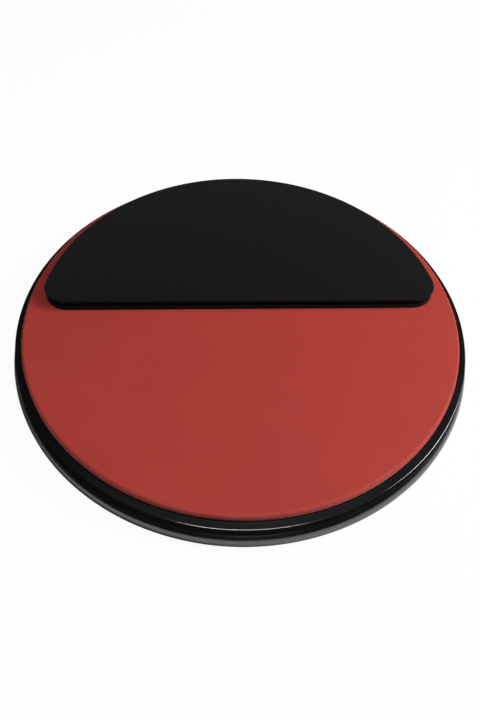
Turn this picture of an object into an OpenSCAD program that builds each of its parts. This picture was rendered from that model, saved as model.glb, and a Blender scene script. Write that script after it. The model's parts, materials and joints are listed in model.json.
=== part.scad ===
// Round drum practice pad: a lacquered board with a moulded edge, a red rubber playing disc
// and a soft half-moon on top, a grip sheet and a threaded stand insert below.
// +Z is up, +Y points away from the player, and the origin is the middle of the underside.

/* [Base board] */
// Overall diameter of the board, across its bead
board_d = 305; // [260:1:360]
// Thickness of the board
board_t = 18; // [16:1:25]
// How far the bead stands out past the top edge
bead_step = 3.8; // [1:0.1:5]
// Radius of the bead along the lower edge
bead_r = 8; // [6:0.2:9]
// Height of the bead's widest line above the board's underside
bead_h = 4.6; // [3:0.1:6]
// Radius of the cove between the wall and the bead
cove_r = 1.2; // [0.6:0.1:3]
// Radius of the board's top edge
top_edge_r = 0.6; // [0.3:0.1:2]
// Radius of the board's bottom edge
foot_edge_r = 0.8; // [0.4:0.1:1.4]

/* [Playing disc] */
// Width of the board that shows round the playing disc
land_w = 5; // [2:0.2:20]
// Thickness of the playing disc
disc_t = 4.8; // [3:0.1:8]
// Radius of the playing disc's top edge
disc_edge_r = 2.2; // [0.5:0.1:2.8]

/* [Half-moon pad] */
// Width of the playing disc that shows round the half-moon's arc
moon_margin = 10.8; // [5:0.1:30]
// Distance of the straight edge beyond the pad's centre
moon_offset = 0; // [0:1:40]
// Radius of the half-moon's two corners
moon_corner_r = 16; // [8:1:30]
// Thickness of the half-moon
moon_t = 8; // [6:0.5:15]

/* [Grip sheet] */
// Width of bare board between the grip sheet and the board's foot
grip_margin = 5; // [2:0.5:20]
// Thickness of the grip sheet
grip_t = 2; // [1:0.5:4]
// Gap between the insert's flange and the grip sheet's hole
grip_hole_gap = 2; // [1:0.5:6]

/* [Adhesive sheets] */
// Thickness of every double-sided adhesive sheet
tape_t = 0.2; // [0.1:0.1:0.5]
// How far each adhesive sheet stays inside the edge of what it holds
tape_margin = 1.5; // [1:0.5:5]

/* [Stand insert] */
// Diameter of the insert's bore, the minor diameter of an M8 thread
insert_bore_d = 6.8; // [5:0.1:8]
// Diameter of the insert over its barbs
insert_d = 12; // [10:0.5:16]
// Length of the insert, its flange included
insert_len = 12; // [8:0.5:13]
// Width of the flange past the barbs
flange_rim = 2.5; // [1.5:0.5:5]
// Thickness of the flange
flange_t = 1.5; // [1:0.25:2.5]
// Depth of one barb
barb_depth = 0.7; // [0.3:0.1:1]
// Distance from one barb to the next
barb_pitch = 2; // [1.5:0.25:3]
// Chamfer at the mouth of the bore
mouth_chamfer = 0.8; // [0.4:0.1:1.2]
// Radial clearance round the insert in the board
insert_clearance = 0.1; // [0.05:0.05:0.3]
// Depth of the hole past the end of the insert
hole_relief = 1; // [0.5:0.5:2]

/* [Hidden] */
$fn = 96;
// Overlap of cutters past the faces that they open
cut = 1;
// Steps in each arc of the board's section
arc_steps = 12;

// Heights of the stack, from the surface that the pad lies on
grip_tape_z = grip_t;
board_z = grip_tape_z + tape_t;
disc_tape_z = board_z + board_t;
disc_z = disc_tape_z + tape_t;
moon_tape_z = disc_z + disc_t;
moon_z = moon_tape_z + tape_t;

// Radii of the stack
board_r = board_d / 2;
top_r = board_r - bead_step;
disc_r = top_r - land_w;
moon_r = disc_r - moon_margin;

// Bead, cove and foot of the board's edge: circles that touch each other
bead_x = board_r - bead_r;
cove_x = top_r + cove_r;
cove_h = bead_h + sqrt(pow(bead_r + cove_r, 2) - pow(cove_x - bead_x, 2));
foot_x = bead_x + sqrt(pow(bead_r - foot_edge_r, 2) - pow(bead_h - foot_edge_r, 2));
grip_r = foot_x - grip_margin;

// Half-moon: centres of its corners, and the direction in which corner and arc meet
corner_y = moon_offset + moon_corner_r;
corner_x = sqrt(pow(moon_r - moon_corner_r, 2) - pow(corner_y, 2));
corner_angle = atan2(corner_y, corner_x);

// Insert, its flange and the holes that take them
insert_r = insert_d / 2;
flange_r = insert_r + flange_rim;
grip_hole_r = flange_r + grip_hole_gap;
barb_count = floor((insert_len - flange_t) / barb_pitch);

// Points along an arc, from its start up to one step short of its end, where the next arc starts.
function arc(centre, r, from, to) =
    [for (i = [0 : arc_steps - 1]) let (a = from + (to - from) * i / arc_steps)
        centre + r * [cos(a), sin(a)]];

// Board edge in section, x outwards from the pad's axis and y up from the board's underside:
// foot, bead, cove and top edge are arcs that run smoothly into each other and into the wall.
module board_section() {
    foot_angle = atan2(foot_edge_r - bead_h, foot_x - bead_x);
    cove_angle = atan2(cove_h - bead_h, cove_x - bead_x);
    polygon(concat(
        [[0, 0]],
        arc([foot_x, foot_edge_r], foot_edge_r, -90, foot_angle),
        arc([bead_x, bead_h], bead_r, foot_angle, cove_angle),
        arc([cove_x, cove_h], cove_r, cove_angle - 180, -180),
        [[top_r, cove_h]],
        arc([top_r - top_edge_r, board_t - top_edge_r], top_edge_r, 0, 90),
        [[top_r - top_edge_r, board_t], [0, board_t]]
    ));
}

// Hole in the board for the insert: counterbore for the flange, blind hole for the barbs.
module insert_hole() {
    hole_r = insert_r + insert_clearance;
    translate([0, 0, -cut]) cylinder(r = hole_r, h = cut + insert_len + hole_relief);
    translate([0, 0, -cut]) cylinder(r = flange_r + insert_clearance, h = cut + flange_t);
}

// Outline of the half-moon, drawn in by inset all round.
module moon_outline(inset) {
    arc_r = moon_r - inset;
    chord_y = moon_offset + inset;
    far = 2 * moon_r;
    intersection() {
        circle(arc_r);
        polygon([
            [0, 0], [far * cos(corner_angle), far * sin(corner_angle)], [far, far],
            [-far, far], [-far * cos(corner_angle), far * sin(corner_angle)],
        ]);
        translate([-far, chord_y]) square([2 * far, far]);
    }
    translate([-corner_x, chord_y]) square([2 * corner_x, corner_y - chord_y]);
    for (side = [-1, 1])
        translate([side * corner_x, corner_y]) circle(moon_corner_r - inset);
}

// Lacquered board with its moulded edge and the blind hole for the stand insert.
module base_board() {
    color([0.08, 0.08, 0.09])
        translate([0, 0, board_z])
            difference() {
                rotate_extrude() board_section();
                insert_hole();
            }
}

// Red rubber disc with a rounded top edge.
module playing_disc() {
    color([0.66, 0.25, 0.24])
        translate([0, 0, disc_z])
            rotate_extrude() {
                square([disc_r, disc_t - disc_edge_r]);
                square([disc_r - disc_edge_r, disc_t]);
                translate([disc_r - disc_edge_r, disc_t - disc_edge_r])
                    intersection() {
                        circle(disc_edge_r);
                        square(disc_edge_r);
                    }
            }
}

// Soft half-moon on the far half of the disc.
module half_moon_pad() {
    color([0.13, 0.13, 0.14])
        translate([0, 0, moon_z]) linear_extrude(moon_t) moon_outline(0);
}

// Adhesive between the board and the playing disc.
module disc_adhesive_sheet() {
    color([0.85, 0.83, 0.76])
        translate([0, 0, disc_tape_z]) cylinder(r = disc_r - tape_margin, h = tape_t);
}

// Adhesive between the playing disc and the half-moon.
module half_moon_adhesive_sheet() {
    color([0.85, 0.83, 0.76])
        translate([0, 0, moon_tape_z]) linear_extrude(tape_t) moon_outline(tape_margin);
}

// Sheet under the board, with a hole in the middle that leaves the insert clear.
module ring_sheet(z, outer_r, inner_r, thickness) {
    translate([0, 0, z])
        difference() {
            cylinder(r = outer_r, h = thickness);
            translate([0, 0, -cut]) cylinder(r = inner_r, h = thickness + 2 * cut);
        }
}

// Non-slip rubber sheet that the pad lies on.
module grip_sheet() {
    color([0.20, 0.20, 0.21]) ring_sheet(0, grip_r, grip_hole_r, grip_t);
}

// Adhesive between the grip sheet and the board.
module grip_adhesive_sheet() {
    color([0.85, 0.83, 0.76])
        ring_sheet(grip_tape_z, grip_r - tape_margin, grip_hole_r + tape_margin, tape_t);
}

// Barbed brass insert, its flange flush with the board's underside.
module stand_insert() {
    color([0.78, 0.62, 0.30])
        translate([0, 0, board_z])
            difference() {
                union() {
                    cylinder(r = flange_r, h = flange_t);
                    cylinder(r = insert_r - barb_depth, h = insert_len);
                    for (i = [0 : barb_count - 1])
                        translate([0, 0, insert_len - (i + 1) * barb_pitch])
                            cylinder(r1 = insert_r, r2 = insert_r - barb_depth, h = barb_pitch);
                }
                translate([0, 0, -cut]) cylinder(d = insert_bore_d, h = insert_len + 2 * cut);
                translate([0, 0, -cut])
                    cylinder(
                        r1 = insert_bore_d / 2 + mouth_chamfer + cut,
                        r2 = insert_bore_d / 2,
                        h = mouth_chamfer + cut
                    );
            }
}

base_board();
playing_disc();
half_moon_pad();
disc_adhesive_sheet();
half_moon_adhesive_sheet();
grip_sheet();
grip_adhesive_sheet();
stand_insert();
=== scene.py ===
"""The looks of a round drum practice pad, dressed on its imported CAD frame.

The pad is a glued stack. A black lacquered board with a moulded edge carries a red rubber playing
disc, and a foam half-moon lies on the far half of the disc. A grip sheet and a threaded stand insert
are below. +Z is up, +Y points away from the player, and lengths are in metres.
"""

import json
import logging
import math
from collections.abc import Iterable, Mapping
from dataclasses import dataclass
from enum import Enum

import bmesh
import bpy
from mathutils import Matrix, Vector, noise
from mathutils.bvhtree import BVHTree
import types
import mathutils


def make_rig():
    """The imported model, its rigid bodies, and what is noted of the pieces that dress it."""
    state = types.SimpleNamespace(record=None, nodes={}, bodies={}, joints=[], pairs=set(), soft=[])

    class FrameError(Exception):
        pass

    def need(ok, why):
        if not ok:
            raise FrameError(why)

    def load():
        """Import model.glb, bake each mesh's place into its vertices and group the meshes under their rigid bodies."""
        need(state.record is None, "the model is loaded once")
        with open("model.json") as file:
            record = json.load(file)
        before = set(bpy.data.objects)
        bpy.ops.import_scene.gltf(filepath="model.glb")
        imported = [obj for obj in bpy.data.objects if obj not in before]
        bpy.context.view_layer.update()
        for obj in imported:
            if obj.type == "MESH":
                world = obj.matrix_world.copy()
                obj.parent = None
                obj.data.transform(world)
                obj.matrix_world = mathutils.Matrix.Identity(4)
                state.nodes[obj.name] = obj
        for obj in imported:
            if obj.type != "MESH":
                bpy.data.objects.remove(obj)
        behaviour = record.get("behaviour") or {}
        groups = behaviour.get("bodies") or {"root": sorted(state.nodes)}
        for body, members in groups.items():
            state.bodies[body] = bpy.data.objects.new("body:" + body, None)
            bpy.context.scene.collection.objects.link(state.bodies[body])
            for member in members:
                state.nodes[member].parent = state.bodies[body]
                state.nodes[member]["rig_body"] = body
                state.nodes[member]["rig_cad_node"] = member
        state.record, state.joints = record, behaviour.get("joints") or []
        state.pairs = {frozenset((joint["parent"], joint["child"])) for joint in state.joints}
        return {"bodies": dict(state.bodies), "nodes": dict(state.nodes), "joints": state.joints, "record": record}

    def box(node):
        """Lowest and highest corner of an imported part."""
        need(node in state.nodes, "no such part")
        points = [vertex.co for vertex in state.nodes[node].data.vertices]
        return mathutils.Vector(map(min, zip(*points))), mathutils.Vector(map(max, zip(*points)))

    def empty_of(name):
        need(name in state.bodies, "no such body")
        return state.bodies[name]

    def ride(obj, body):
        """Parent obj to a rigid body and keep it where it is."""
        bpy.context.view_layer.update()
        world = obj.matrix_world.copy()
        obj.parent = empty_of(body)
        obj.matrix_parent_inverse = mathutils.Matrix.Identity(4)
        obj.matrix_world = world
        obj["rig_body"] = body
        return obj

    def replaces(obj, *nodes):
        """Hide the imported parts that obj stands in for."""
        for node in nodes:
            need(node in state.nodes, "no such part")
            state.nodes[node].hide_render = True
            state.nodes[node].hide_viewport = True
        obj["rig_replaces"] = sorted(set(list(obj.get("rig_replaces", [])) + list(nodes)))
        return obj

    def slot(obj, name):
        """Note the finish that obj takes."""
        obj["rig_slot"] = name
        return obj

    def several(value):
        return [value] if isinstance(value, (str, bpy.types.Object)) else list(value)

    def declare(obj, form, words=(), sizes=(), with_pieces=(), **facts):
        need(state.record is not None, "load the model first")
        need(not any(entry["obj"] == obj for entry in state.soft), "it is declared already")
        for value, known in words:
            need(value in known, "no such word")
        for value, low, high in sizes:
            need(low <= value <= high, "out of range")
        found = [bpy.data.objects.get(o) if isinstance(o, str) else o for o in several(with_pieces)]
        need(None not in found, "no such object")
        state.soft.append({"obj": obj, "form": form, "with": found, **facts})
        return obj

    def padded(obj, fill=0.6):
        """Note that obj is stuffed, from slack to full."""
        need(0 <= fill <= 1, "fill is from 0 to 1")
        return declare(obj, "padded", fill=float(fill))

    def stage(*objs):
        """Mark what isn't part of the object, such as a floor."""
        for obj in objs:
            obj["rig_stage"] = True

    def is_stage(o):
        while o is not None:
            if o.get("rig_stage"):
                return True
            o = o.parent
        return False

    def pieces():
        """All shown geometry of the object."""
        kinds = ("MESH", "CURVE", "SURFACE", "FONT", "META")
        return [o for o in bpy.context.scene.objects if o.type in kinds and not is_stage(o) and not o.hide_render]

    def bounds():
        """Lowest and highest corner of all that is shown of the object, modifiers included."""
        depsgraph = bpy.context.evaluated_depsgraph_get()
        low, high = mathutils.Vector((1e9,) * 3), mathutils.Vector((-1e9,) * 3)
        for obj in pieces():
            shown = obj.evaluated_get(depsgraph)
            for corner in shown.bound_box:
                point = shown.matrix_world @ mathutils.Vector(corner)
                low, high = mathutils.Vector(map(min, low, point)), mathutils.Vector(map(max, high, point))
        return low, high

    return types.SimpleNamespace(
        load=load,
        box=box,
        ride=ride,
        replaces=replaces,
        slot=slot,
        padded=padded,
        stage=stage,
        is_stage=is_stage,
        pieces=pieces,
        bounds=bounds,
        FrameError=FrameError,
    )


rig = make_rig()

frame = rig.load()

MM = 0.001
MERGE_DISTANCE = 0.001 * MM
SHARP_ANGLE = math.radians(35)
FULL_TURN = math.tau
IMAGE_WIDTH = 480
IMAGE_HEIGHT = 720
BODY = "root"
MIX_COLOUR_A = 6
MIX_COLOUR_B = 7
MIX_COLOUR_RESULT = 2
LOG = logging.getLogger("practice_pad")

Colour = tuple[float, float, float]
Triple = tuple[float, float, float]
Span = tuple[float, float]


class Slot(Enum):
    """The record's material slots."""

    LACQUER = "board_lacquer"
    PLAYING_RUBBER = "playing_rubber"
    FOAM = "foam_rubber"
    GRIP = "grip_rubber"
    ADHESIVE = "adhesive"
    BRASS = "insert_brass"


class Side(Enum):
    """The side of a shape on which an image point lies: its axis in the image, and its direction."""

    LEFT = (0, -1)
    RIGHT = (0, 1)
    TOP = (1, -1)
    BOTTOM = (1, 1)


# --- Image points ---------------------------------------------------------------------------


@dataclass(frozen=True)
class ImagePoint:
    """Where the edge of a piece shows in the photograph's frame.

    Fields:
        piece: the piece whose edge it is.
        side: the side of the piece.
        x: place across the image, left out for a top or bottom that holds anywhere.
        y: place down the image, left out for a left or right that holds anywhere.
        above: only vertices above this height count, for an edge on a piece's upper face.
    """

    piece: str
    side: Side
    x: float | None = None
    y: float | None = None
    above: float = -1.0


BOARD = "lacquered_board"
DISC = "rubber_playing_disc"
HALF_MOON = "foam_half_moon"

IMAGE_POINTS = {
    "object_left": ImagePoint(BOARD, Side.LEFT, x=12.4),
    "object_right": ImagePoint(BOARD, Side.RIGHT, x=466.0),
    "object_top": ImagePoint(HALF_MOON, Side.TOP, y=178.3),
    "object_bottom": ImagePoint(BOARD, Side.BOTTOM, y=547.3),
    "disc_left": ImagePoint(DISC, Side.LEFT, x=22.0),
    "disc_right": ImagePoint(DISC, Side.RIGHT, x=459.2),
    "disc_front": ImagePoint(DISC, Side.BOTTOM, y=522.0),
    "board_front_edge": ImagePoint(BOARD, Side.BOTTOM, x=240.0, y=530.5, above=19.7 * MM),
    "half_moon_left": ImagePoint(HALF_MOON, Side.LEFT, x=43.8),
    "half_moon_right": ImagePoint(HALF_MOON, Side.RIGHT, x=434.0),
    "straight_edge_top": ImagePoint(HALF_MOON, Side.BOTTOM, x=240.0, y=300.6, above=33.3 * MM),
    "straight_edge_foot": ImagePoint(HALF_MOON, Side.BOTTOM, x=240.0, y=309.6),
}


# --- Shader maths and material nodes -----------------------------------------------------------


class Signal:
    """A node's output, wrapped so that shader maths reads as Python maths."""

    def __init__(self, recipe: "Recipe", socket: bpy.types.NodeSocket | None) -> None:
        """Wraps one output socket of a recipe's node."""
        self.recipe = recipe
        self.socket = socket

    def _math(self, operation: str, first: "Signal | float", second: "Signal | float") -> "Signal":
        """Adds one Math node on two values, and gives its result."""
        return self.recipe.add("ShaderNodeMath", {"operation": operation}, {0: first, 1: second})

    def __add__(self, other: "Signal | float") -> "Signal":
        """self + other."""
        return self._math("ADD", self, other)

    def __radd__(self, other: float) -> "Signal":
        """other + self."""
        return self._math("ADD", other, self)

    def __sub__(self, other: "Signal | float") -> "Signal":
        """self - other."""
        return self._math("SUBTRACT", self, other)

    def __rsub__(self, other: float) -> "Signal":
        """other - self."""
        return self._math("SUBTRACT", other, self)

    def __mul__(self, other: "Signal | float") -> "Signal":
        """self * other."""
        return self._math("MULTIPLY", self, other)

    def __rmul__(self, other: float) -> "Signal":
        """other * self."""
        return self._math("MULTIPLY", other, self)

    def clamped(self) -> "Signal":
        """The value, kept between 0 and 1."""
        return self.recipe.add("ShaderNodeClamp", {}, {"Value": self})

    def sine(self) -> "Signal":
        """The sine of the value, which is an angle in radians."""
        return self.recipe.add("ShaderNodeMath", {"operation": "SINE"}, {0: self})

    def between(self, low: float, high: float) -> "Signal":
        """A smooth step.

        Args:
            low: the value at which the step starts, as 0.
            high: the value at which it ends, as 1.

        Returns:
            The step's height.
        """
        settings = {"interpolation_type": "SMOOTHSTEP"}
        return self.recipe.add(
            "ShaderNodeMapRange", settings, {"Value": self, "From Min": low, "From Max": high}
        )


class Recipe:
    """A node tree in the making, and the one way in which nodes are added to it."""

    def __init__(self, tree: bpy.types.NodeTree) -> None:
        """Starts from an emptied node tree."""
        self.tree = tree
        self.tree.nodes.clear()

    def add(
        self,
        kind: str,
        settings: Mapping[str, object],
        values: Mapping[str | int, "Signal | float | tuple"],
        output: str | int = 0,
    ) -> Signal:
        """Adds a node.

        Args:
            kind: the node's type.
            settings: its properties, set before its sockets.
            values: a value or a signal for each of its sockets, by name or number.
            output: the output that is wanted.

        Returns:
            That output as a signal.
        """
        node = self.tree.nodes.new(kind)
        for name, setting in settings.items():
            setattr(node, name, setting)
        for name, value in values.items():
            if isinstance(value, Signal):
                self.tree.links.new(value.socket, node.inputs[name])
            else:
                node.inputs[name].default_value = value
        return Signal(self, node.outputs[output] if node.outputs else None)

    def place(self) -> Signal:
        """The point on the piece, in metres in the pad's own frame."""
        return self.add("ShaderNodeTexCoord", {}, {}, "Object")

    def stretched(self, place: Signal, scale: Triple) -> Signal:
        """The place with each axis scaled by its own factor, for streaks and grain."""
        return self.add("ShaderNodeMapping", {}, {"Vector": place, "Scale": scale})

    def noise(self, place: Signal, size: float, detail: float = 2.0) -> Signal:
        """Soft noise round a middle of 0.5, from spots of the given size down by layers of detail."""
        values = {"Vector": place, "Scale": 1.0 / size, "Detail": detail}
        return self.add("ShaderNodeTexNoise", {}, values, "Fac")

    def cells(self, place: Signal, size: float) -> Signal:
        """The distance, in sizes, to the nearest of many points scattered about a size apart."""
        values = {"Vector": place, "Scale": 1.0 / size}
        return self.add("ShaderNodeTexVoronoi", {}, values, "Distance")

    def measure(self, operation: str, *vectors: "Signal | Triple") -> Signal:
        """Adds one Vector Math node whose result is a number, such as a distance."""
        sockets = dict(enumerate(vectors))
        return self.add("ShaderNodeVectorMath", {"operation": operation}, sockets, "Value")

    def mixed(self, share: Signal, first: Colour, second: Colour) -> Signal:
        """A colour between two.

        Args:
            share: how much of the second it holds, 0 to 1.
            first: the colour at a share of 0.
            second: the colour at a share of 1.

        Returns:
            The colour.
        """
        colours = {"Factor": share, MIX_COLOUR_A: (*first, 1.0), MIX_COLOUR_B: (*second, 1.0)}
        return self.add("ShaderNodeMix", {"data_type": "RGBA"}, colours, MIX_COLOUR_RESULT)

    def bump(self, height: Signal, depth: float, normal: Signal | None = None) -> Signal:
        """A relief too fine for the mesh.

        Args:
            height: the relief, 0 to 1.
            depth: its depth in metres.
            normal: a relief that it lies on.

        Returns:
            The normal.
        """
        values = {"Height": height, "Distance": depth}
        if normal is not None:
            values["Normal"] = normal
        return self.add("ShaderNodeBump", {}, values)

    def surface(self, **values: "Signal | float | tuple") -> None:
        """Ends the recipe with one Principled surface.

        Args:
            values: its sockets, with underscores for the spaces in their names.
        """
        sockets = {name.replace("_", " "): value for name, value in values.items()}
        shader = self.add("ShaderNodeBsdfPrincipled", {}, sockets)
        self.add("ShaderNodeOutputMaterial", {}, {"Surface": shader})


def new_recipe(name: str) -> tuple[bpy.types.Material, Recipe]:
    """Starts a material.

    Args:
        name: the material's name.

    Returns:
        The material and the recipe for its nodes.
    """
    material = bpy.data.materials.new(name)
    material.use_nodes = True
    return material, Recipe(material.node_tree)


# --- Finishes ----------------------------------------------------------------------------------


@dataclass(frozen=True)
class BoardLacquer:
    """Black lacquer sprayed on a wooden board: orange peel, dust nibs and a soft change of sheen."""

    colour: Colour = (0.0024, 0.0026, 0.0028)
    thin_colour: Colour = (0.0046, 0.0044, 0.0040)
    thin_span: Span = (0.35, 0.75)
    roughness: float = 0.14
    dull_roughness: float = 0.22
    dull_span: Span = (0.3, 0.8)
    ior: float = 1.6
    gloss: float = 1.0
    cloud_size: float = 45 * MM
    cloud_detail: float = 3.0
    peel_size: float = 2.4 * MM
    peel_detail: float = 1.0
    peel_depth: float = 0.035 * MM
    nib_size: float = 5 * MM
    nib_span: Span = (0.02, 0.09)
    nib_roughness: float = 0.1
    nib_depth: float = 0.05 * MM

    def material(self) -> bpy.types.Material:
        """Makes the material.

        Returns:
            The material.
        """
        material, recipe = new_recipe("black_satin_lacquer")
        place = recipe.place()
        cloud = recipe.noise(place, self.cloud_size, self.cloud_detail)
        peel = recipe.noise(place, self.peel_size, self.peel_detail)
        nibs = 1.0 - recipe.cells(place, self.nib_size).between(*self.nib_span)
        dulled = (self.dull_roughness - self.roughness) * cloud.between(*self.dull_span)
        peel_normal = recipe.bump(peel, self.peel_depth)
        recipe.surface(
            Base_Color=recipe.mixed(cloud.between(*self.thin_span), self.colour, self.thin_colour),
            Roughness=self.roughness + dulled + self.nib_roughness * nibs,
            IOR=self.ior,
            Specular_IOR_Level=self.gloss,
            Normal=recipe.bump(nibs, self.nib_depth, peel_normal),
        )
        return material


@dataclass(frozen=True)
class GrooveAndShadePaint:
    """The dull black of the groove, also used for a thin line of painted contact shadow along the disc's corner."""

    colour: Colour = (0.0085, 0.0085, 0.0086)
    fibre_colour: Colour = (0.0140, 0.0135, 0.0130)
    fibre_span: Span = (0.35, 0.8)
    roughness: float = 0.62
    fibre_roughness: float = 0.2
    ior: float = 1.45
    gloss: float = 0.0
    fibre_size: float = 0.5 * MM
    fibre_detail: float = 3.0
    fibre_stretch: Triple = (1.0, 1.0, 0.3)
    fibre_depth: float = 0.03 * MM

    def material(self) -> bpy.types.Material:
        """Makes the material.

        Returns:
            The material.
        """
        material, recipe = new_recipe("dull_groove_and_painted_shade")
        place = recipe.stretched(recipe.place(), self.fibre_stretch)
        fibres = recipe.noise(place, self.fibre_size, self.fibre_detail)
        recipe.surface(
            Base_Color=recipe.mixed(fibres.between(*self.fibre_span), self.colour, self.fibre_colour),
            Roughness=self.roughness + self.fibre_roughness * fibres,
            IOR=self.ior,
            Specular_IOR_Level=self.gloss,
            Normal=recipe.bump(fibres, self.fibre_depth),
        )
        return material


@dataclass(frozen=True)
class PlayingRubber:
    """Smooth matte red rubber with a fine cast skin, faint clouding and a little stick polish."""

    colour: Colour = (0.434, 0.0496, 0.0368)
    cloud_colour: Colour = (0.413, 0.0460, 0.0346)
    cloud_span: Span = (0.3, 0.7)
    roughness: float = 0.60
    polished_roughness: float = 0.54
    polish_span: Span = (0.25, 0.6)
    ior: float = 1.45
    gloss: float = 0.15
    sheen: float = 0.16
    sheen_roughness: float = 0.35
    cloud_size: float = 38 * MM
    cloud_detail: float = 4.0
    skin_size: float = 0.9 * MM
    skin_roughness: float = 0.04
    skin_depth: float = 0.012 * MM

    def material(self) -> bpy.types.Material:
        """Makes the material.

        Returns:
            The material.
        """
        material, recipe = new_recipe("red_playing_rubber")
        place = recipe.place()
        cloud = recipe.noise(place, self.cloud_size, self.cloud_detail)
        skin = recipe.noise(place, self.skin_size)
        unpolished = (self.roughness - self.polished_roughness) * cloud.between(*self.polish_span)
        recipe.surface(
            Base_Color=recipe.mixed(cloud.between(*self.cloud_span), self.colour, self.cloud_colour),
            Roughness=self.polished_roughness + unpolished + self.skin_roughness * skin,
            IOR=self.ior,
            Specular_IOR_Level=self.gloss,
            Sheen_Weight=self.sheen,
            Sheen_Roughness=self.sheen_roughness,
            Normal=recipe.bump(skin, self.skin_depth),
        )
        return material


@dataclass(frozen=True)
class FoamRubber:
    """Black foam rubber, whose fine cells catch a faint sheen from the side, with painted shade in the pits of the
    cells.
    """

    name: str = "black_foam_skin"
    colour: Colour = (0.0022, 0.0021, 0.0022)
    raised_colour: Colour = (0.0060, 0.0058, 0.0059)
    roughness: float = 0.72
    pit_roughness: float = 0.9
    ior: float = 1.42
    gloss: float = 0.08
    sheen: float = 0.24
    sheen_roughness: float = 0.4
    cell_size: float = 0.7 * MM
    cell_span: Span = (0.05, 0.6)
    cell_depth: float = 0.07 * MM
    grain_cells: float = 3.0
    grain_detail: float = 3.0
    grain_share: float = 0.4
    wave_size: float = 14 * MM
    wave_depth: float = 0.12 * MM

    def material(self) -> bpy.types.Material:
        """Makes the material.

        Returns:
            The material.
        """
        material, recipe = new_recipe(self.name)
        place = recipe.place()
        pits = recipe.cells(place, self.cell_size)
        grain = recipe.noise(place, self.cell_size * self.grain_cells, self.grain_detail)
        grained = (1.0 - self.grain_share) + self.grain_share * grain
        relief = pits.between(*self.cell_span) * grained
        waves = recipe.noise(place, self.wave_size)
        wave_normal = recipe.bump(waves, self.wave_depth)
        span = self.pit_roughness - self.roughness
        recipe.surface(
            # painted shade: the pits of the cells get the darker colour, the raised skin between them the lighter one
            Base_Color=recipe.mixed(relief, self.colour, self.raised_colour),
            Roughness=self.roughness + span * (1.0 - relief),
            IOR=self.ior,
            Specular_IOR_Level=self.gloss,
            Sheen_Weight=self.sheen,
            Sheen_Roughness=self.sheen_roughness,
            Normal=recipe.bump(relief, self.cell_depth, wave_normal),
        )
        return material


@dataclass(frozen=True)
class GripRubber:
    """Dark rubber sheet with a pebbled non-slip skin."""

    colour: Colour = (0.021, 0.021, 0.022)
    worn_colour: Colour = (0.040, 0.039, 0.038)
    roughness: float = 0.62
    gap_roughness: float = 0.2
    wear_polish: float = 0.08
    ior: float = 1.45
    pebble_size: float = 1.5 * MM
    pebble_span: Span = (0.1, 0.75)
    pebble_depth: float = 0.22 * MM
    wear_size: float = 30 * MM
    wear_detail: float = 4.0
    wear_span: Span = (0.4, 0.75)

    def material(self) -> bpy.types.Material:
        """Makes the material.

        Returns:
            The material.
        """
        material, recipe = new_recipe("pebbled_grip_rubber")
        place = recipe.place()
        pebbles = 1.0 - recipe.cells(place, self.pebble_size).between(*self.pebble_span)
        wear = recipe.noise(place, self.wear_size, self.wear_detail).between(*self.wear_span)
        unworn = self.roughness + self.gap_roughness * (1.0 - pebbles)
        recipe.surface(
            Base_Color=recipe.mixed(pebbles * wear, self.colour, self.worn_colour),
            Roughness=unworn - self.wear_polish * wear,
            IOR=self.ior,
            Normal=recipe.bump(pebbles, self.pebble_depth),
        )
        return material


@dataclass(frozen=True)
class AdhesiveFilm:
    """Milky double-sided film with trapped air and the fibres of its carrier."""

    colour: Colour = (0.62, 0.58, 0.47)
    dry_colour: Colour = (0.74, 0.72, 0.64)
    roughness: float = 0.32
    fibre_roughness: float = 0.25
    ior: float = 1.47
    bubble_size: float = 3.5 * MM
    bubble_span: Span = (0.12, 0.3)
    fibre_size: float = 0.8 * MM
    fibre_detail: float = 3.0
    fibre_stretch: Triple = (1.0, 0.12, 1.0)
    fibre_share: float = 0.5
    fibre_depth: float = 0.02 * MM

    def material(self) -> bpy.types.Material:
        """Makes the material.

        Returns:
            The material.
        """
        material, recipe = new_recipe("adhesive_film")
        place = recipe.place()
        bubbles = 1.0 - recipe.cells(place, self.bubble_size).between(*self.bubble_span)
        along = recipe.stretched(place, self.fibre_stretch)
        fibres = recipe.noise(along, self.fibre_size, self.fibre_detail)
        dry = (bubbles + self.fibre_share * fibres).clamped()
        recipe.surface(
            Base_Color=recipe.mixed(dry, self.colour, self.dry_colour),
            Roughness=self.roughness + self.fibre_roughness * fibres,
            IOR=self.ior,
            Normal=recipe.bump(fibres, self.fibre_depth),
        )
        return material


@dataclass(frozen=True)
class TurnedBrass:
    """Brass from a lathe: rings from the tool, and a light tarnish in patches."""

    colour: Colour = (0.74, 0.55, 0.26)
    tarnish_colour: Colour = (0.50, 0.34, 0.14)
    roughness: float = 0.22
    tarnish_roughness: float = 0.22
    tarnish_size: float = 4 * MM
    tarnish_detail: float = 4.0
    tarnish_span: Span = (0.45, 0.75)
    ring_pitch: float = 0.35 * MM
    ring_depth: float = 0.012 * MM

    def material(self) -> bpy.types.Material:
        """Makes the material.

        Returns:
            The material.
        """
        material, recipe = new_recipe("turned_brass")
        place = recipe.place()
        multiply = {"operation": "MULTIPLY"}
        across = recipe.add("ShaderNodeVectorMath", multiply, {0: place, 1: (1.0, 1.0, 0.0)})
        radius = recipe.measure("LENGTH", across)
        rings = (radius * (FULL_TURN / self.ring_pitch)).sine()
        patches = recipe.noise(place, self.tarnish_size, self.tarnish_detail)
        tarnish = patches.between(*self.tarnish_span)
        recipe.surface(
            Base_Color=recipe.mixed(tarnish, self.colour, self.tarnish_colour),
            Metallic=1.0,
            Roughness=self.roughness + self.tarnish_roughness * tarnish,
            Normal=recipe.bump(0.5 + 0.5 * rings, self.ring_depth),
        )
        return material


# --- Mesh making -------------------------------------------------------------------------------


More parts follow.
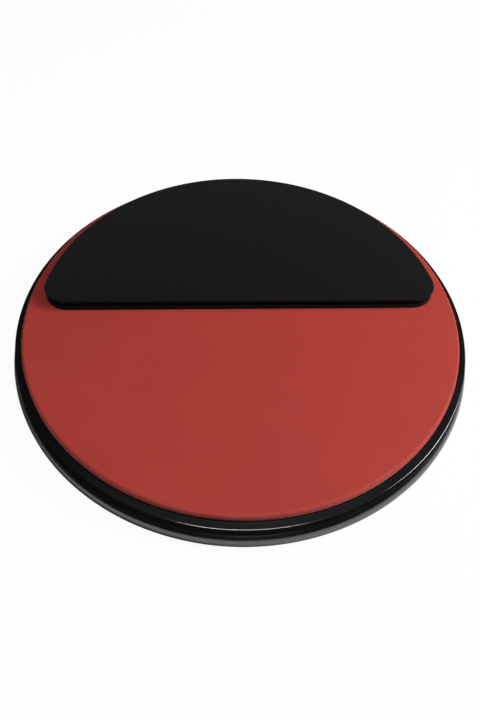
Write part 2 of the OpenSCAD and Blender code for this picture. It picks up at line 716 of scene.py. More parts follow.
class Plane(Enum):
    """The plane that a pen draws in, by its normal. A positive turn goes round that normal."""

    SECTION = (0.0, -1.0, 0.0)
    OUTLINE = (0.0, 0.0, 1.0)

    def point(self, across: float, along: float, height: float) -> Vector:
        """A place in the plane.

        Args:
            across: distance along X.
            along: distance along the plane's other axis.
            height: the plane's own height, used by an outline.

        Returns:
            The place in the pad's frame.
        """
        if self is Plane.SECTION:
            return Vector((across, 0.0, along))
        return Vector((across, along, height))


class Pen:
    """Draws a wire of lines and arcs in a bmesh, each stroke by one bmesh operator."""

    def __init__(
        self, mesh: bmesh.types.BMesh, plane: Plane, across: float, along: float, height: float = 0.0
    ) -> None:
        """Puts the pen down.

        Args:
            mesh: the mesh to draw in.
            plane: the plane to draw in.
            across: where the wire starts, along X.
            along: where it starts, along the plane's other axis.
            height: the height of an outline's plane.
        """
        self.mesh = mesh
        self.plane = plane
        self.height = height
        start = plane.point(across, along, height)
        self.first = bmesh.ops.create_vert(mesh, co=start)["vert"][0]
        self.tip = self.first

    def line(self, across: float, along: float) -> None:
        """Draws a straight line from the tip to a place, given as in the pen's start."""
        self.tip = bmesh.ops.extrude_vert_indiv(self.mesh, verts=[self.tip])["verts"][0]
        self.tip.co = self.plane.point(across, along, self.height)

    def arc(self, across: float, along: float, turn: float, steps: int) -> None:
        """Draws an arc from the tip.

        Args:
            across: the arc's centre, along X.
            along: its centre, along the plane's other axis.
            turn: the angle that it turns through.
            steps: how many edges it has.
        """
        made = bmesh.ops.spin(
            self.mesh,
            geom=[self.tip],
            cent=self.plane.point(across, along, self.height),
            axis=self.plane.value,
            dvec=(0.0, 0.0, 0.0),
            angle=turn,
            steps=steps,
            use_merge=False,
        )
        self.tip = next(part for part in made["geom_last"] if isinstance(part, bmesh.types.BMVert))

    def close(self) -> None:
        """Joins the tip to the start."""
        self.mesh.edges.new((self.tip, self.first))


def revolve(mesh: bmesh.types.BMesh, steps: int) -> None:
    """Spins all that is drawn once round the pad's axis, into a closed shell.

    Args:
        mesh: the mesh, which holds only the drawn section.
        steps: how many faces go round.
    """
    bmesh.ops.spin(
        mesh,
        geom=mesh.verts[:] + mesh.edges[:],
        cent=(0.0, 0.0, 0.0),
        axis=(0.0, 0.0, 1.0),
        dvec=(0.0, 0.0, 0.0),
        angle=FULL_TURN,
        steps=steps,
        use_merge=True,
    )
    bmesh.ops.remove_doubles(mesh, verts=mesh.verts, dist=MERGE_DISTANCE)
    bmesh.ops.recalc_face_normals(mesh, faces=mesh.faces)


def add_object(name: str, data: bpy.types.ID) -> bpy.types.Object:
    """Adds an object to the scene.

    Args:
        name: the object's name.
        data: its mesh, lamp or camera.

    Returns:
        The object, at the origin.
    """
    added = bpy.data.objects.new(name, data)
    bpy.context.scene.collection.objects.link(added)
    return added


def put_in_order(mesh: bmesh.types.BMesh) -> None:
    """Sorts the faces by their first two corners, since spin leaves them in another order each run.

    Args:
        mesh: the mesh, whose vertices come in the same order each run.
    """
    mesh.verts.index_update()
    count = len(mesh.verts)
    mesh.faces.sort(key=lambda face: face.verts[0].index * count + face.verts[1].index)


def finish_piece(
    mesh: bmesh.types.BMesh,
    name: str,
    material: bpy.types.Material,
    slot: Slot,
    replaced_node: str,
) -> bpy.types.Object:
    """Turns a finished bmesh into a piece that rides on the pad and stands for its CAD node.

    Args:
        mesh: the mesh, which is freed.
        name: the piece's name.
        material: its material.
        slot: the record's slot that it takes its finish from.
        replaced_node: the CAD node that it stands for.

    Returns:
        The piece.
    """
    put_in_order(mesh)
    data = bpy.data.meshes.new(name)
    mesh.to_mesh(data)
    mesh.free()
    data.shade_smooth()
    data.set_sharp_from_angle(angle=SHARP_ANGLE)
    data.materials.append(material)
    piece = add_object(name, data)
    shading = piece.modifiers.new("even_shading", "WEIGHTED_NORMAL")
    shading.keep_sharp = True
    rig.ride(piece, BODY)
    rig.slot(piece, slot.value)
    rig.replaces(piece, replaced_node)
    return piece


# --- The pad's pieces --------------------------------------------------------------------------


@dataclass
class LacqueredBoard:
    """The board: land, crisp top edge, wall, cove, bead and foot, and the hole for the insert.

    It is dull in the groove. A thin dull line along the corner where the playing disc stands on
    the board is painted contact shadow. The fields that need a word:
        groove_depth: how far below the top face the dull paint reaches.
        steepest_gloss: how far a face's normal has to rise for the face to be glossy in the groove.
        painted_shade_line: half the width of the dull line of painted contact shadow along the corner.
        hand_depth, hand_length: the depth and the length of the waves that hand sanding leaves.
        hand_bias: how far these waves lie inwards on the whole, as a share of their depth.
        hand_reach: how far in from the rim they go.
    """

    bead_step: float = 3.8 * MM
    bead_radius: float = 8.0 * MM
    bead_height: float = 4.6 * MM
    cove_radius: float = 1.2 * MM
    top_edge_radius: float = 0.6 * MM
    foot_edge_radius: float = 0.8 * MM
    foot_edge_steps: int = 6
    bead_steps: int = 20
    cove_steps: int = 8
    top_edge_steps: int = 8
    groove_depth: float = 8.0 * MM
    steepest_gloss: float = math.sin(math.radians(48))
    painted_shade_line: float = 0.8 * MM
    flange_thickness: float = 1.5 * MM
    barb_radius: float = 6.0 * MM
    hole_clearance: float = 0.1 * MM
    hole_relief: float = 1.0 * MM
    steps_round: int = 288
    hand_depth: float = 0.05 * MM
    hand_length: float = 26 * MM
    hand_bias: float = 0.5
    hand_reach: float = 16 * MM
    finish: BoardLacquer = BoardLacquer()
    groove_and_shade_finish: GrooveAndShadePaint = GrooveAndShadePaint()

    @staticmethod
    def corner_radius() -> float:
        """The radius of the corner in which the playing disc stands on the board."""
        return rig.box("playing_disc")[1].x

    def draw_hole(self, mesh: bmesh.types.BMesh, floor_z: float) -> Pen:
        """Draws the blind hole and the flange's counterbore, from the axis to the underside.

        Args:
            mesh: the mesh to draw in.
            floor_z: the height of the board's underside.

        Returns:
            The pen, at the counterbore's mouth.
        """
        _, insert_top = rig.box("stand_insert")
        flange_radius = insert_top.x + self.hole_clearance
        hole_radius = self.barb_radius + self.hole_clearance
        end_z = insert_top.z + self.hole_relief
        pen = Pen(mesh, Plane.SECTION, 0.0, end_z)
        pen.line(hole_radius, end_z)
        pen.line(hole_radius, floor_z + self.flange_thickness)
        pen.line(flange_radius, floor_z + self.flange_thickness)
        pen.line(flange_radius, floor_z)
        return pen

    def draw_edge(self, pen: Pen, floor_z: float, top_z: float, outer_radius: float) -> None:
        """Draws the moulded edge, whose arcs run smoothly into each other, and the top face.

        Args:
            pen: the pen, on the underside.
            floor_z: the height of the underside.
            top_z: the height of the top face.
            outer_radius: the radius across the bead.
        """
        corner_radius = self.corner_radius()
        wall_radius = outer_radius - self.bead_step
        bead = Vector((outer_radius - self.bead_radius, floor_z + self.bead_height))
        foot_drop = self.bead_height - self.foot_edge_radius
        foot_reach = math.sqrt((self.bead_radius - self.foot_edge_radius) ** 2 - foot_drop**2)
        foot = Vector((bead.x + foot_reach, floor_z + self.foot_edge_radius))
        foot_angle = math.atan2(foot.y - bead.y, foot.x - bead.x)
        cove_x = wall_radius + self.cove_radius
        cove_rise = math.sqrt((self.bead_radius + self.cove_radius) ** 2 - (cove_x - bead.x) ** 2)
        cove = Vector((cove_x, bead.y + cove_rise))
        cove_angle = math.atan2(cove.y - bead.y, cove.x - bead.x)
        top_edge = Vector((wall_radius - self.top_edge_radius, top_z - self.top_edge_radius))
        pen.line(foot.x, floor_z)
        pen.arc(foot.x, foot.y, foot_angle + math.pi / 2, self.foot_edge_steps)
        pen.arc(bead.x, bead.y, cove_angle - foot_angle, self.bead_steps)
        pen.arc(cove.x, cove.y, -cove_angle, self.cove_steps)
        pen.line(wall_radius, top_edge.y)
        pen.arc(top_edge.x, top_edge.y, math.pi / 2, self.top_edge_steps)
        # painted shade: the ring between these two lines is a thin line of painted contact shadow where the disc
        # stands
        pen.line(corner_radius + self.painted_shade_line, top_z)
        pen.line(corner_radius - self.painted_shade_line, top_z)
        pen.line(0.0, top_z)

    def mark_groove_and_shade(self, mesh: bmesh.types.BMesh, top_z: float, outer_radius: float) -> None:
        """Gives the wall and the cove the board's second material, and paints with it a thin line of contact shadow
        along the corner at the playing disc.

        Args:
            mesh: the board's mesh.
            top_z: the height of the top face.
            outer_radius: the radius across the bead.
        """
        wall_radius = outer_radius - self.bead_step
        corner_radius = self.corner_radius()
        for face in mesh.faces:
            middle = face.calc_center_median()
            past_wall = middle.xy.length - wall_radius
            in_groove = -self.top_edge_radius < past_wall < self.cove_radius / 2
            steep = face.normal.z < self.steepest_gloss
            # painted shade: a thin dull line along the disc's foot stands in for its contact shadow
            past_disc = abs(middle.xy.length - corner_radius)
            in_painted_shade = past_disc < self.painted_shade_line and middle.z > top_z - self.cove_radius
            if in_painted_shade or (in_groove and steep and middle.z > top_z - self.groove_depth):
                face.material_index = 1

    def sand_by_hand(self, mesh: bmesh.types.BMesh, outer_radius: float) -> None:
        """Gives the moulded edge the slight waves that hand sanding leaves.

        Args:
            mesh: the board's mesh.
            outer_radius: the radius across the bead.
        """
        inner = outer_radius - self.hand_reach
        for vertex in mesh.verts:
            outward = Vector((vertex.co.x, vertex.co.y, 0.0))
            if outward.length > inner:
                wave = noise.noise(vertex.co / self.hand_length) - self.hand_bias
                vertex.co += outward.normalized() * (self.hand_depth * wave)

    def build(self) -> bpy.types.Object:
        """Makes the board and puts it in its CAD node's place.

        Returns:
            The board.
        """
        low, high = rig.box("base_board")
        mesh = bmesh.new()
        pen = self.draw_hole(mesh, low.z)
        self.draw_edge(pen, low.z, high.z, high.x)
        revolve(mesh, self.steps_round)
        self.mark_groove_and_shade(mesh, high.z, high.x)
        self.sand_by_hand(mesh, high.x)
        board = finish_piece(mesh, BOARD, self.finish.material(), Slot.LACQUER, "base_board")
        board.data.materials.append(self.groove_and_shade_finish.material())
        return board


@dataclass
class PlayingDisc:
    """The red rubber disc, with a rounded top edge and a clean-cut foot."""

    top_edge_radius: float = 2.2 * MM
    top_edge_steps: int = 12
    foot_edge_radius: float = 0.3 * MM
    foot_edge_steps: int = 4
    steps_round: int = 288
    finish: PlayingRubber = PlayingRubber()

    def build(self) -> bpy.types.Object:
        """Makes the disc and puts it in its CAD node's place.

        Returns:
            The disc.
        """
        low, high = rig.box("playing_disc")
        mesh = bmesh.new()
        pen = Pen(mesh, Plane.SECTION, 0.0, low.z)
        foot = Vector((high.x - self.foot_edge_radius, low.z + self.foot_edge_radius))
        edge = Vector((high.x - self.top_edge_radius, high.z - self.top_edge_radius))
        pen.line(foot.x, low.z)
        pen.arc(foot.x, foot.y, math.pi / 2, self.foot_edge_steps)
        pen.line(high.x, edge.y)
        pen.arc(edge.x, edge.y, math.pi / 2, self.top_edge_steps)
        pen.line(0.0, high.z)
        revolve(mesh, self.steps_round)
        material = self.finish.material()
        return finish_piece(mesh, DISC, material, Slot.PLAYING_RUBBER, "playing_disc")


@dataclass
class FoamHalfMoon:
    """The soft half-moon: foam cut by a die, so its wall is drawn in at mid-height.

    The fields that need a word:
        waist_fullness: the power of the waist's curve, which above 1 is gentler near the edges.
        rim_width: the width of the ring of faces along the border of the two flat faces.
        steepest_skin: how far a face's normal has to rise for the face to be skin, not a cut side.
    """

    corner_radius: float = 16 * MM
    waist_depth: float = 1.3 * MM
    waist_fullness: float = 1.5
    top_edge_radius: float = 0.7 * MM
    foot_edge_radius: float = 0.3 * MM
    wall_steps: int = 10
    edge_steps: int = 4
    chord_steps: int = 40
    corner_steps: int = 16
    arc_steps: int = 120
    rim_width: float = 1.0 * MM
    steepest_skin: float = math.sin(math.radians(25))
    finish: FoamRubber = FoamRubber()
    cut_finish: FoamRubber = FoamRubber(
        name="black_foam_cut_side",
        colour=(0.0026, 0.0022, 0.0024),
        raised_colour=(0.0054, 0.0048, 0.0050),
        gloss=0.0,
        sheen=0.0,
        cell_depth=0.16 * MM,
    )

    def wall(self, thickness: float) -> list[tuple[float, float]]:
        """The wall's section.

        Args:
            thickness: the foam's thickness.

        Returns:
            Height above the foam's underside and distance drawn in, from foot to top.
        """
        straight = thickness - self.foot_edge_radius - self.top_edge_radius
        section = []
        for step in range(self.edge_steps):
            angle = math.pi / 2 * step / self.edge_steps
            radius = self.foot_edge_radius
            section.append((radius * (1 - math.cos(angle)), radius * (1 - math.sin(angle))))
        for step in range(self.wall_steps + 1):
            share = step / self.wall_steps
            waist = self.waist_depth * math.sin(math.pi * share) ** self.waist_fullness
            section.append((self.foot_edge_radius + straight * share, waist))
        for step in range(1, self.edge_steps + 1):
            angle = math.pi / 2 * step / self.edge_steps
            radius = self.top_edge_radius
            rise = thickness - radius + radius * math.sin(angle)
            section.append((rise, radius * (1 - math.cos(angle))))
        return section

    def outline(
        self, mesh: bmesh.types.BMesh, low: Vector, high: Vector, height: float, inset: float
    ) -> None:
        """Draws the half-moon's outline at one height.

        Args:
            mesh: the mesh to draw in.
            low: the lowest corner of the foam's box.
            high: its highest corner.
            height: the height of the outline.
            inset: how far it is drawn in all round.
        """
        corner_y = low.y + self.corner_radius
        corner_x = math.sqrt((high.y - self.corner_radius) ** 2 - corner_y**2)
        meeting = math.atan2(corner_y, corner_x)
        pen = Pen(mesh, Plane.OUTLINE, -corner_x, low.y + inset, height)
        for step in range(1, self.chord_steps + 1):
            pen.line(-corner_x + 2 * corner_x * step / self.chord_steps, low.y + inset)
        pen.arc(corner_x, corner_y, meeting + math.pi / 2, self.corner_steps)
        pen.arc(0.0, 0.0, math.pi - 2 * meeting, self.arc_steps)
        pen.arc(-corner_x, corner_y, meeting + math.pi / 2, self.corner_steps)

    def build(self) -> bpy.types.Object:
        """Makes the half-moon and puts it in its CAD node's place.

        Returns:
            The half-moon.
        """
        low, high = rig.box("half_moon_pad")
        mesh = bmesh.new()
        for rise, inset in self.wall(high.z - low.z):
            self.outline(mesh, low, high, low.z + rise, inset)
        bmesh.ops.remove_doubles(mesh, verts=mesh.verts, dist=MERGE_DISTANCE)
        loops = self.loops_by_height(mesh)
        for lower, upper in zip(loops, loops[1:]):
            bmesh.ops.bridge_loops(mesh, edges=lower + upper)
        for rim in (loops[0], loops[-1]):
            made = bmesh.ops.contextual_create(mesh, geom=rim)
            bmesh.ops.inset_region(mesh, faces=made["faces"], thickness=self.rim_width)
        bmesh.ops.recalc_face_normals(mesh, faces=mesh.faces)
        mesh.normal_update()
        for face in mesh.faces:
            face.material_index = int(abs(face.normal.z) < self.steepest_skin)
        material = self.finish.material()
        piece = finish_piece(mesh, HALF_MOON, material, Slot.FOAM, "half_moon_pad")
        piece.data.materials.append(self.cut_finish.material())
        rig.padded(piece, fill=1.0)
        return piece

    @staticmethod
    def loops_by_height(mesh: bmesh.types.BMesh) -> list[list[bmesh.types.BMEdge]]:
        """Sorts the drawn outlines by height.

        Args:
            mesh: the mesh, which holds only the outlines.

        Returns:
            The edges of each outline, from the lowest up.
        """
        found: dict[int, list[bmesh.types.BMEdge]] = {}
        for edge in mesh.edges:
            found.setdefault(round(edge.verts[0].co.z / MERGE_DISTANCE), []).append(edge)
        return [found[height] for height in sorted(found)]


@dataclass
class GripSheet:
    """The non-slip sheet under the board, with its cut edges just rounded."""

    flange_gap: float = 2.0 * MM
    edge_radius: float = 0.25 * MM
    edge_steps: int = 4
    steps_round: int = 192
    finish: GripRubber = GripRubber()

    def build(self) -> bpy.types.Object:
        """Makes the sheet and puts it in its CAD node's place.

        Returns:
            The sheet.
        """
        low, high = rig.box("grip_sheet")
        _, insert_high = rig.box("stand_insert")
        hole_radius = insert_high.x + self.flange_gap
        inner_x = hole_radius + self.edge_radius
        outer_x = high.x - self.edge_radius
        edge_z = low.z + self.edge_radius
        mesh = bmesh.new()
        pen = Pen(mesh, Plane.SECTION, inner_x, low.z)
        pen.line(outer_x, low.z)
        pen.arc(outer_x, edge_z, math.pi / 2, self.edge_steps)
        pen.line(high.x, high.z)
        pen.line(hole_radius, high.z)
        pen.line(hole_radius, edge_z)
        pen.arc(inner_x, edge_z, math.pi / 2, self.edge_steps)
        revolve(mesh, self.steps_round)
        material = self.finish.material()
        return finish_piece(mesh, "grip_mat", material, Slot.GRIP, "grip_sheet")


@dataclass
class ThreadedInsert:
    """The brass insert: flange, barbs, chamfered mouth and a cut M8 thread.

    The fields that need a word:
        flange_edge, mouth_edge: the chamfers of the flange's rim and of the bore's mouth.
        root_overlap: how far the thread's ridge is sunk into the wall of the bore.
        crest_share: the width of the ridge's flat crest, as a share of the pitch.
        thread_start: how far above the mouth the thread starts.
    """

    barb_depth: float = 0.7 * MM
    barb_pitch: float = 2.0 * MM
    barb_radius: float = 6.0 * MM
    flange_thickness: float = 1.5 * MM
    flange_edge: float = 0.2 * MM
    crest_radius: float = 3.4 * MM
    root_radius: float = 4.0 * MM
    root_overlap: float = 0.1 * MM
    thread_pitch: float = 1.25 * MM
    crest_share: float = 0.12
    thread_steps: int = 48
    thread_start: float = 0.8 * MM
    mouth_edge: float = 0.2 * MM
    steps_round: int = 96
    finish: TurnedBrass = TurnedBrass()

    def draw_shell(self, mesh: bmesh.types.BMesh, low: Vector, high: Vector) -> None:
        """Draws the section of the insert, from the bore's mouth out, up the barbs and back.

        Args:
            mesh: the mesh to draw in.
            low: the lowest corner of the insert's box.
            high: its highest corner.
        """
        start_radius = self.root_radius + self.mouth_edge
        pen = Pen(mesh, Plane.SECTION, start_radius, low.z)
        pen.line(high.x - self.flange_edge, low.z)
        pen.line(high.x, low.z + self.flange_edge)
        pen.line(high.x, low.z + self.flange_thickness)
        stem_radius = self.barb_radius - self.barb_depth
        pen.line(stem_radius, low.z + self.flange_thickness)
        barbs = math.floor((high.z - low.z - self.flange_thickness) / self.barb_pitch)
        for barb in range(barbs, 0, -1):
            foot_z = high.z - barb * self.barb_pitch
            pen.line(stem_radius, foot_z)
            pen.line(self.barb_radius, foot_z)
            pen.line(stem_radius, foot_z + self.barb_pitch)
        pen.line(self.root_radius, high.z)
        pen.line(self.root_radius, low.z + self.mouth_edge)
        pen.line(start_radius, low.z)

    def cut_thread(self, mesh: bmesh.types.BMesh, low: Vector, high: Vector) -> None:
        """Winds the thread's ridge up the bore, as one closed helix.

        Args:
            mesh: the mesh that takes the ridge.
            low: the lowest corner of the insert's box.
            high: its highest corner.
        """
        foot_z = low.z + self.thread_start
        turns = (high.z - foot_z) / self.thread_pitch - 1.0
        steps = round(self.thread_steps * turns)
        sunk = self.root_radius + self.root_overlap
        flank = self.thread_pitch * (1.0 - self.crest_share) / 2
        ridge = bmesh.new()
        pen = Pen(ridge, Plane.SECTION, sunk, foot_z)
        pen.line(self.crest_radius, foot_z + flank)
        pen.line(self.crest_radius, foot_z + self.thread_pitch - flank)
        pen.line(sunk, foot_z + self.thread_pitch)
        pen.close()
        first = bmesh.ops.contextual_create(ridge, geom=ridge.edges[:])["faces"]
        bmesh.ops.spin(
            ridge,
            geom=first,
            cent=(0.0, 0.0, 0.0),
            axis=(0.0, 0.0, 1.0),
            dvec=(0.0, 0.0, turns * self.thread_pitch / steps),
            angle=FULL_TURN * turns,
            steps=steps,
            use_merge=False,
        )
        bmesh.ops.recalc_face_normals(ridge, faces=ridge.faces)
        part = bpy.data.meshes.new("thread_ridge")
        ridge.to_mesh(part)
        ridge.free()
        mesh.from_mesh(part)
        bpy.data.meshes.remove(part)

    def build(self) -> bpy.types.Object:
        """Makes the insert and puts it in its CAD node's place.

        Returns:
            The insert.
        """
        low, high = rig.box("stand_insert")
        mesh = bmesh.new()
        self.draw_shell(mesh, low, high)
        revolve(mesh, self.steps_round)
        self.cut_thread(mesh, low, high)
        material = self.finish.material()
        return finish_piece(mesh, "threaded_insert", material, Slot.BRASS, "stand_insert")


@dataclass
class AdhesiveSheets:
    """The three double-sided sheets, whose CAD shapes are right as they are."""

    nodes: tuple[str, ...] = (
        "disc_adhesive_sheet",
        "half_moon_adhesive_sheet",
        "grip_adhesive_sheet",
    )
    finish: AdhesiveFilm = AdhesiveFilm()

    def dress(self) -> list[bpy.types.Object]:
        """Gives each sheet the film's material and slot.

        Returns:
            The sheets.
        """
        material = self.finish.material()
        sheets = [frame["nodes"][name] for name in self.nodes]
        for sheet in sheets:
            sheet.data.materials.clear()
            sheet.data.materials.append(material)
            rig.slot(sheet, Slot.ADHESIVE.value)
        return sheets


# --- Studio ------------------------------------------------------------------------------------


@dataclass(frozen=True)
class Lamp:
    """A soft rectangular lamp that looks at a point on the pad.

    Fields:
        name: the lamp's name.
        place: where it stands.
        size: its width and height.
        power: its power in watts.
        lights: whether it lights matte surfaces.
        mirrored: whether reflections show it.
        target: the point that it looks at.
    """

    name: str
    place: Triple
    size: tuple[float, float]
    power: float
    lights: bool = True
    mirrored: bool = True
    target: Triple = (0.0, 0.0, 0.02)

    def light(self) -> None:
        """Adds the lamp to the scene."""
        data = bpy.data.lights.new(self.name, "AREA")
        data.shape = "RECTANGLE"
        data.size, data.size_y = self.size
        data.energy = self.power
        lamp = add_object(self.name, data)
        lamp.location = self.place
        gaze = Vector(self.target) - Vector(self.place)
        lamp.rotation_mode = "QUATERNION"
        lamp.rotation_quaternion = gaze.to_track_quat("-Z", "Y")
        lamp.visible_camera = False
        lamp.visible_diffuse = self.lights
        lamp.visible_glossy = self.mirrored


@dataclass
class Studio:
    """A white table in a dim room: softboxes at the right and overhead, a pale card in front.

    Fields:
        floor_half_width: half the table's width.
        floor_gap: how far the table lies below the pad.
        floor_colour: the table's own colour, which takes the shadows.
        shown_white: how much of what the camera sees of the table and the room is plain white.
        mirrored_share: how much of what reflections see of the table is its painted pool of light.
        mirrored_white: how bright that pool is.
        painted_pool_centre: the painted pool's centre, nearer to the lamps than the pad.
        painted_pool_reach: the distances from that centre at which the pool starts to fade and is gone.
        painted_shadow_centre: the centre of the painted shadow line where the pad stands, away from the lamps.
        painted_shadow_reach: the distances from it at which the line ends and the pool is full.
        wall_colour: the room's light from the walls.
        ceiling_colour: its light from the pale part of the ceiling.
        glow_axis: the direction of that part.
        glow_reach: the cosines to that direction at which its light starts and is full.
        lamps: the lamps.
    """

    floor_half_width: float = 6.0
    floor_gap: float = 0.02 * MM
    floor_colour: Colour = (0.93, 0.93, 0.93)
    shown_white: float = 0.95
    mirrored_share: float = 0.75
    mirrored_white: float = 0.95
    painted_pool_centre: Triple = (0.040, -0.110, 0.0)
    painted_pool_reach: Span = (0.140, 0.225)
    painted_shadow_centre: Triple = (-0.009, 0.0, 0.0)
    painted_shadow_reach: Span = (0.1525, 0.1665)
    wall_colour: Colour = (0.025, 0.025, 0.027)
    ceiling_colour: Colour = (0.085, 0.085, 0.089)
    glow_axis: Triple = (0.05, 0.30, 0.953)
    glow_reach: Span = (0.93, 0.985)
    lamps: tuple[Lamp, ...] = (
        Lamp("right_softbox", (0.98, -0.055, 0.71), (0.60, 0.60), 14.0),
        Lamp("top_softbox", (-0.02, -0.22, 1.15), (0.60, 0.60), 5.0, mirrored=False),
        Lamp("front_card", (0.0, -0.75, 0.94), (0.70, 0.30), 12.0, lights=False),
    )

    def lay_floor(self) -> None:
        """Makes the table top, which shows white and keeps the pad's shadow."""
        mesh = bmesh.new()
        lowered = Matrix.Translation((0.0, 0.0, -self.floor_gap))
        bmesh.ops.create_grid(
            mesh, x_segments=1, y_segments=1, size=self.floor_half_width, matrix=lowered
        )
        data = bpy.data.meshes.new("studio_floor")
        mesh.to_mesh(data)
        mesh.free()
        floor = add_object("studio_floor", data)
        data.materials.append(self.floor_material())
        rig.stage(floor)

    def floor_material(self) -> bpy.types.Material:
        """Mixes the white of the table with plain light for the rays that show it, and paints a pool of light and a
        contact shadow into what reflections see of it.

        Returns:
            The material.
        """
        material, recipe = new_recipe("studio_white")
        camera_ray = recipe.add("ShaderNodeLightPath", {}, {}, "Is Camera Ray")
        glossy_ray = recipe.add("ShaderNodeLightPath", {}, {}, "Is Glossy Ray")
        clear_ray = recipe.add("ShaderNodeLightPath", {}, {}, "Is Transmission Ray")
        mirrored = (glossy_ray + clear_ray).clamped()
        share = camera_ray * self.shown_white + mirrored * self.mirrored_share
        place = recipe.place()
        # painted light and shade: reflections see a painted pool of light, with a painted shadow line where the pad
        # stands
        past_painted_pool = recipe.measure("DISTANCE", place, self.painted_pool_centre)
        past_painted_shadow = recipe.measure("DISTANCE", place, self.painted_shadow_centre)
        pool = 1.0 - past_painted_pool.between(*self.painted_pool_reach)
        contact = past_painted_shadow.between(*self.painted_shadow_reach)
        glow = camera_ray + (1.0 - camera_ray) * self.mirrored_white * pool * contact
        white = recipe.add("ShaderNodeEmission", {}, {"Color": (1, 1, 1, 1), "Strength": glow})
        matte = recipe.add("ShaderNodeBsdfDiffuse", {}, {"Color": (*self.floor_colour, 1.0)})
        mixed = recipe.add("ShaderNodeMixShader", {}, {0: share, 1: matte, 2: white})
        recipe.add("ShaderNodeOutputMaterial", {}, {"Surface": mixed})
        return material

    def paint_room(self) -> None:
        """Gives the world a little light, more from the ceiling than from the walls."""
        world = bpy.data.worlds.new("studio_room")
        world.use_nodes = True
        bpy.context.scene.world = world
        recipe = Recipe(world.node_tree)
        direction = recipe.add("ShaderNodeTexCoord", {}, {}, "Generated")
        glow = recipe.measure("DOT_PRODUCT", direction, self.glow_axis)
        colour = recipe.mixed(glow.between(*self.glow_reach), self.wall_colour, self.ceiling_colour)
        room = recipe.add("ShaderNodeBackground", {}, {"Color": colour, "Strength": 1.0})
        white = recipe.add("ShaderNodeBackground", {}, {"Color": (1, 1, 1, 1), "Strength": 1.0})
        camera_ray = recipe.add("ShaderNodeLightPath", {}, {}, "Is Camera Ray")
        share = camera_ray * self.shown_white
        shown = recipe.add("ShaderNodeMixShader", {}, {0: share, 1: room, 2: white})
        recipe.add("ShaderNodeOutputWorld", {}, {"Surface": shown})

    def build(self) -> None:
        """Makes the floor, the room's light and the lamps."""
        self.lay_floor()
        self.paint_room()
        for lamp in self.lamps:
            lamp.light()
        bpy.context.scene.view_settings.view_transform = "Standard"


@dataclass(frozen=True)
class Viewpoint:
    """The photograph's viewpoint, fitted to its outlines: close, and steeply down from the near side."""

    lens: float = 27.461
    sensor_width: float = 36.0
    aim: Triple = (-2.39 * MM, -38.79 * MM, 20.2 * MM)
    distance: float = 349.44 * MM
    azimuth: float = math.radians(-3.592)
    elevation: float = math.radians(53.441)
    roll: float = math.radians(2.310)
    clip_near: float = 10 * MM
    clip_far: float = 50.0

    def axes(self) -> Matrix:
        """Works out the camera's axes.

        Returns:
            The axes as the columns of a rotation.
        """
        turn = Matrix.Rotation(self.azimuth, 3, "Z")
        tilt = Matrix.Rotation(math.pi / 2 - self.elevation, 3, "X")
        return turn @ tilt @ Matrix.Rotation(self.roll, 3, "Z")

    def place(self) -> Vector:
        """Where the camera is."""
        return Vector(self.aim) + self.axes() @ Vector((0.0, 0.0, self.distance))

    def focal(self) -> float:
        """The focal length in pixels of the photograph's frame."""
        return max(IMAGE_WIDTH, IMAGE_HEIGHT) * self.lens / self.sensor_width

    def image_of(self, point: Vector) -> tuple[float, float]:
        """Where a point shows in the image.

        Args:
            point: a point in the pad's frame.

        Returns:
            Its place across and down the image.
        """
        seen = self.axes().transposed() @ (point - self.place())
        scale = self.focal() / -seen.z
        return IMAGE_WIDTH / 2 + seen.x * scale, IMAGE_HEIGHT / 2 - seen.y * scale

    def set_camera(self) -> None:
        """Adds the camera and makes it the scene's."""
        data = bpy.data.cameras.new("photo_camera")
        data.sensor_fit = "AUTO"
        data.sensor_width = self.sensor_width
        data.lens = self.lens
        data.clip_start = self.clip_near
        data.clip_end = self.clip_far
        camera = add_object("photo_camera", data)
        camera.matrix_world = Matrix.Translation(self.place()) @ self.axes().to_4x4()
        bpy.context.scene.camera = camera


# --- Measuring ---------------------------------------------------------------------------------


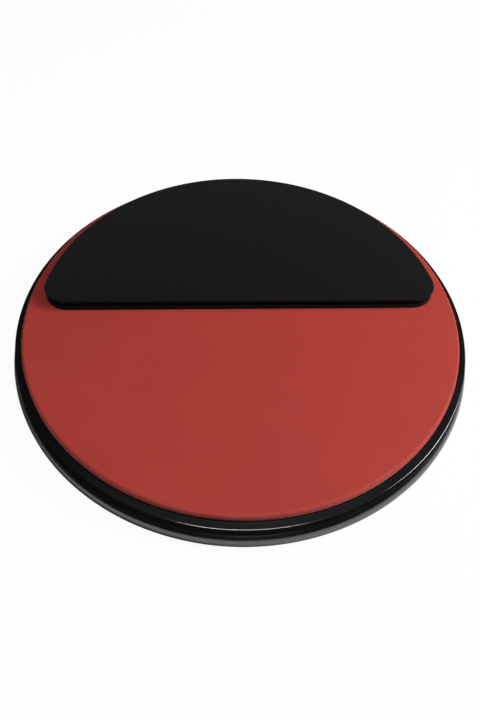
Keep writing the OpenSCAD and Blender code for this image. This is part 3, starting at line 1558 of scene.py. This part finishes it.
@dataclass
class PointReport:
    """Measures how far the things that show lie from their image points.

    Fields:
        view: the viewpoint.
        band: how far across, in pixels, a vertex may show from a point and still count.
        slack: how far short of a vertex the gaze ends, so that its own faces don't hide it.
        path: the file to write.
    """

    view: Viewpoint
    band: float = 3.0
    slack: float = 0.4 * MM
    path: str = "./points.json"

    def seen_vertices(self, pieces: Iterable[bpy.types.Object]) -> dict[str, list[Vector]]:
        """Finds the finished vertices that the camera sees.

        Args:
            pieces: the pieces to look at, which also hide each other.

        Returns:
            The seen vertices of each piece.
        """
        graph = bpy.context.evaluated_depsgraph_get()
        trees = []
        finished: dict[str, list[Vector]] = {}
        for piece in pieces:
            solid = piece.evaluated_get(graph)
            trees.append(BVHTree.FromObject(piece, graph))
            finished[piece.name] = [vertex.co.copy() for vertex in solid.data.vertices]
        return {
            name: [point for point in points if self.shows(point, trees)]
            for name, points in finished.items()
        }

    def shows(self, point: Vector, trees: list[BVHTree]) -> bool:
        """Tells whether nothing hides a point.

        Args:
            point: the point.
            trees: what may hide it.

        Returns:
            True where it shows.
        """
        eye = self.view.place()
        gaze = point - eye
        reach = gaze.length - self.slack
        return all(tree.ray_cast(eye, gaze.normalized(), reach)[0] is None for tree in trees)

    def distance(self, point: ImagePoint, seen: list[Vector]) -> dict[str, float]:
        """Measures one image point.

        Args:
            point: the image point.
            seen: its piece's seen vertices.

        Returns:
            How far the edge shows from the point, in x or in y.
        """
        shown = [self.view.image_of(vertex) for vertex in seen if vertex.z > point.above]
        axis, direction = point.side.value
        if point.x is not None and point.y is not None:
            across = (point.x, point.y)[1 - axis]
            shown = [place for place in shown if abs(place[1 - axis] - across) < self.band]
        edge = max(place[axis] * direction for place in shown) * direction
        wanted = (point.x, point.y)[axis]
        return {"xy"[axis]: round(edge - wanted, 2)}

    def write(self, pieces: Iterable[bpy.types.Object]) -> None:
        """Writes how far each thing shows from its image point.

        Args:
            pieces: the pieces in view.
        """
        seen = self.seen_vertices(pieces)
        report = {
            name: self.distance(point, seen[point.piece]) for name, point in IMAGE_POINTS.items()
        }
        with open(self.path, "w") as out:
            json.dump(report, out, indent=1)
        LOG.info("image points: %s", report)


def write_sizes(cad_box: tuple[Vector, Vector], path: str = "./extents.json") -> None:
    """Writes the CAD box and the finished object's box.

    Args:
        cad_box: the box that was measured straight after the frame was loaded.
        path: the file to write.
    """
    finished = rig.bounds()
    sizes = {
        "cad": [list(corner) for corner in cad_box],
        "visual": [list(corner) for corner in finished],
    }
    with open(path, "w") as out:
        json.dump(sizes, out, indent=1)
    LOG.info("sizes: %s", sizes)


def main() -> None:
    """Builds the pad from the bottom up, then the studio, and writes the two reports."""
    logging.basicConfig(level=logging.INFO, format="%(name)s: %(message)s")
    cad_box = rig.bounds()
    view = Viewpoint()
    view.set_camera()
    insert = ThreadedInsert().build()
    grip = GripSheet().build()
    board = LacqueredBoard().build()
    disc = PlayingDisc().build()
    half_moon = FoamHalfMoon().build()
    sheets = AdhesiveSheets().dress()
    for piece in (insert, grip, board, disc, half_moon, *sheets):
        LOG.info("%s: %d faces", piece.name, len(piece.data.polygons))
    Studio().build()
    PointReport(view).write((board, disc, half_moon))
    write_sizes(cad_box)


if __name__ == "__main__":
    main()
